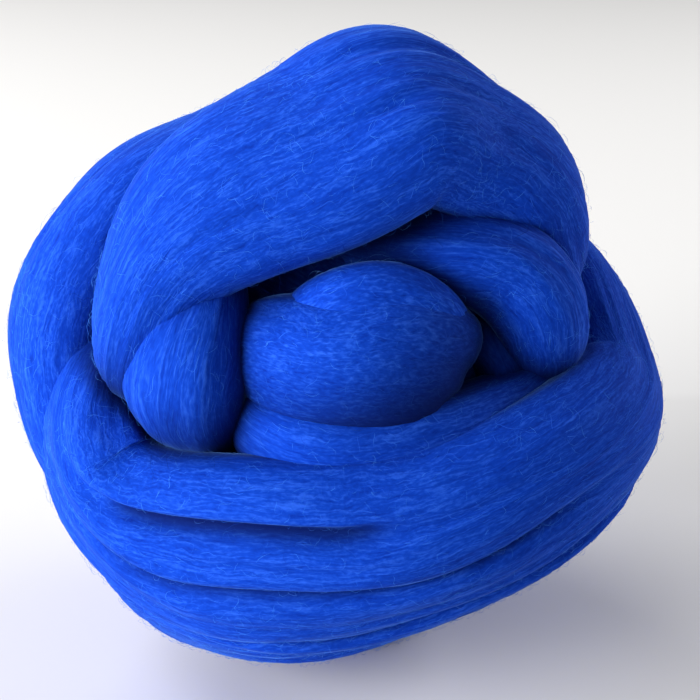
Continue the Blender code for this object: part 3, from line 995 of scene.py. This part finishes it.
def combed_material(combing):
    """Combed wool: soft streaks of tone and fine relief along the sliver, with sizes in millimetres."""
    nodes = Nodes(combing.name)
    wool_finish(nodes)
    uv = nodes.add("ShaderNodeUVMap", uv_map=FIBRE_UV)
    parts = nodes.add("ShaderNodeSeparateXYZ")
    nodes.link(uv.outputs[0], parts.inputs[0])
    u, v = parts.outputs[0], parts.outputs[1]

    def noise(width, length, detail=DETAIL):
        return nodes.noise(nodes.maths("DIVIDE", u, width), nodes.maths("DIVIDE", v, length), detail)

    def streaks(width, share):
        return noise(width, combing.streak * share)

    def warped(width, length, shift):
        away = nodes.maths("SUBTRACT", noise(width, length), 0.5)
        return nodes.maths("ADD", u, nodes.maths("MULTIPLY", away, shift))

    grain = noise(*GRAIN)
    u = warped(*BENDS, BEND_SHIFT)
    u = warped(*CRIMPS, combing.crimp)
    fine = streaks(*FINE_STREAKS)
    locks = streaks(*LOCK_STREAKS)
    soft = streaks(*SOFT_STREAKS)
    broad = noise(*BROAD_PATCHES, BROAD_DETAIL)
    shares = [share * (1 - combing.clouds) for share in LINE_SHARES]
    shares += [share * combing.clouds for share in CLOUD_SHARES]
    tone = 0.0
    for part, share in zip((grain, fine, locks, soft, broad), shares):
        tone = nodes.maths("ADD", tone, nodes.maths("MULTIPLY", part, share))
    colour = nodes.ramp(tone, TONES)
    # Painted shade, from the air that each point sees.
    air = nodes.add("ShaderNodeAttribute", attribute_name=PAINTED_SHADE_ATTRIBUTE)
    nodes.link(nodes.with_painted_shade(colour, air.outputs["Fac"]), nodes.shader.inputs["Base Color"])
    grain_height = nodes.maths("MULTIPLY", grain, GRAIN_HEIGHT)
    fine_height = nodes.maths("MULTIPLY", fine, FINE_HEIGHT)
    height = nodes.maths("ADD", nodes.maths("ADD", grain_height, fine_height), locks)
    bump = nodes.add("ShaderNodeBump")
    bump.inputs["Strength"].default_value = BUMP_STRENGTH
    bump.inputs["Distance"].default_value = BUMP_DISTANCE * MM
    nodes.link(height, bump.inputs["Height"])
    nodes.link(bump.outputs[0], nodes.shader.inputs["Normal"])
    return nodes.material


def fibre_material(name, dark, light):
    """Single fibres, each of its own tone, with painted shade where little air is seen round them."""
    nodes = Nodes(name)
    wool_finish(nodes)
    uv = nodes.add("ShaderNodeUVMap", uv_map=FIBRE_UV)
    parts = nodes.add("ShaderNodeSeparateXYZ")
    nodes.link(uv.outputs[0], parts.inputs[0])
    colour = nodes.ramp(parts.outputs[0], [(0.0, dark), (1.0, light)])
    nodes.link(nodes.with_painted_shade(colour, parts.outputs[1]), nodes.shader.inputs["Base Color"])
    return nodes.material


def floor_material():
    """A plain, pale matt table top, a little lighter towards the back: painted light, standing in for a
    brighter wall behind.
    """
    nodes = Nodes("pale_floor")
    nodes.shader.inputs["Roughness"].default_value = FLOOR_ROUGHNESS
    nodes.shader.inputs["Specular IOR Level"].default_value = FLOOR_SPECULAR
    place = nodes.add("ShaderNodeTexCoord")
    parts = nodes.add("ShaderNodeSeparateXYZ")
    nodes.link(place.outputs["Object"], parts.inputs[0])
    fade = nodes.add("ShaderNodeMapRange")
    nodes.link(parts.outputs[1], fade.inputs[0])
    fade.inputs[1].default_value = BACK_LINE - BACK_LINE_HALF
    fade.inputs[2].default_value = BACK_LINE + BACK_LINE_HALF
    colour = nodes.ramp(fade.outputs[0], [(0.0, FLOOR_WHITE), (1.0, BACK_PAINTED_LIGHT_WHITE)])
    nodes.link(colour, nodes.shader.inputs["Base Color"])
    return nodes.material


def add_floor():
    """The table top that the ball stands on."""
    mesh = bmesh.new()
    bmesh.ops.create_grid(mesh, x_segments=FLOOR_SEGMENTS, y_segments=FLOOR_SEGMENTS, size=FLOOR_HALF)
    data = bpy.data.meshes.new("floor")
    mesh.to_mesh(data)
    mesh.free()
    data.materials.append(floor_material())
    floor = bpy.data.objects.new("floor", data)
    bpy.context.scene.collection.objects.link(floor)


def add_area_light(light):
    """A soft light that faces the ball's middle."""
    data = bpy.data.lights.new(light.name, "AREA")
    data.shape = "SQUARE"
    data.size, data.energy = light.size, light.power
    lamp = bpy.data.objects.new(light.name, data)
    lamp.location = light.place
    lamp.rotation_euler = (Vector(CAMERA_TARGET) - Vector(light.place)).to_track_quat("-Z", "Y").to_euler()
    bpy.context.scene.collection.objects.link(lamp)


def add_world():
    """The pale light of the room, from all sides."""
    world = bpy.data.worlds.new("room")
    world.use_nodes = True
    background = world.node_tree.nodes["Background"]
    background.inputs[0].default_value = ROOM_COLOUR
    background.inputs[1].default_value = ROOM_STRENGTH
    bpy.context.scene.world = world


def add_camera():
    """The camera in front of the ball and a little above it, as in the photograph."""
    data = bpy.data.cameras.new("camera")
    data.lens = LENS_MM
    data.sensor_width = SENSOR_MM
    data.clip_start = NEAREST_SEEN
    camera = bpy.data.objects.new("camera", data)
    elevation = np.radians(CAMERA_ELEVATION)
    back = Vector((0, -np.cos(elevation), np.sin(elevation)))
    camera.location = Vector(CAMERA_TARGET) + CAMERA_DISTANCE * back
    camera.rotation_euler = (-back).to_track_quat("-Z", "Y").to_euler()
    bpy.context.scene.collection.objects.link(camera)
    bpy.context.scene.camera = camera


combed = combed_material(COMBED)
felted = combed_material(FELTED)
single = fibre_material("wool_fibres", BLUE_FIBRE_DARK, BLUE_FIBRE_LIGHT)
airy = fibre_material("wool_down", BLUE_DOWN_DARK, BLUE_DOWN_LIGHT)
strands = [swept(turn) for turn in TURNS]
tree = coarse_tree(strands)
random = np.random.default_rng(SEED)
strands = [strand._replace(air=air_field(strand, tree, random)) for strand in strands]
for strand in strands:
    strand_piece(strand, felted if strand.turn.tangle >= FELTED_TANGLE else combed)
core_piece(felted)
spots = bare_spots(strands, tree)
for kind in FIBRE_KINDS:
    finish = airy if kind.name.startswith("down") else single
    fibres_piece(kind.name, *fibre_paths(kind, strands, spots, random), kind.thick, finish, random)
fibres_piece("bridging_fibres", *bridge_paths(strands, spots, tree, random), BRIDGE_THICK, single, random)

add_floor()
for light in LIGHTS:
    add_area_light(light)
add_world()
add_camera()
bpy.context.scene.view_settings.view_transform = "Standard"
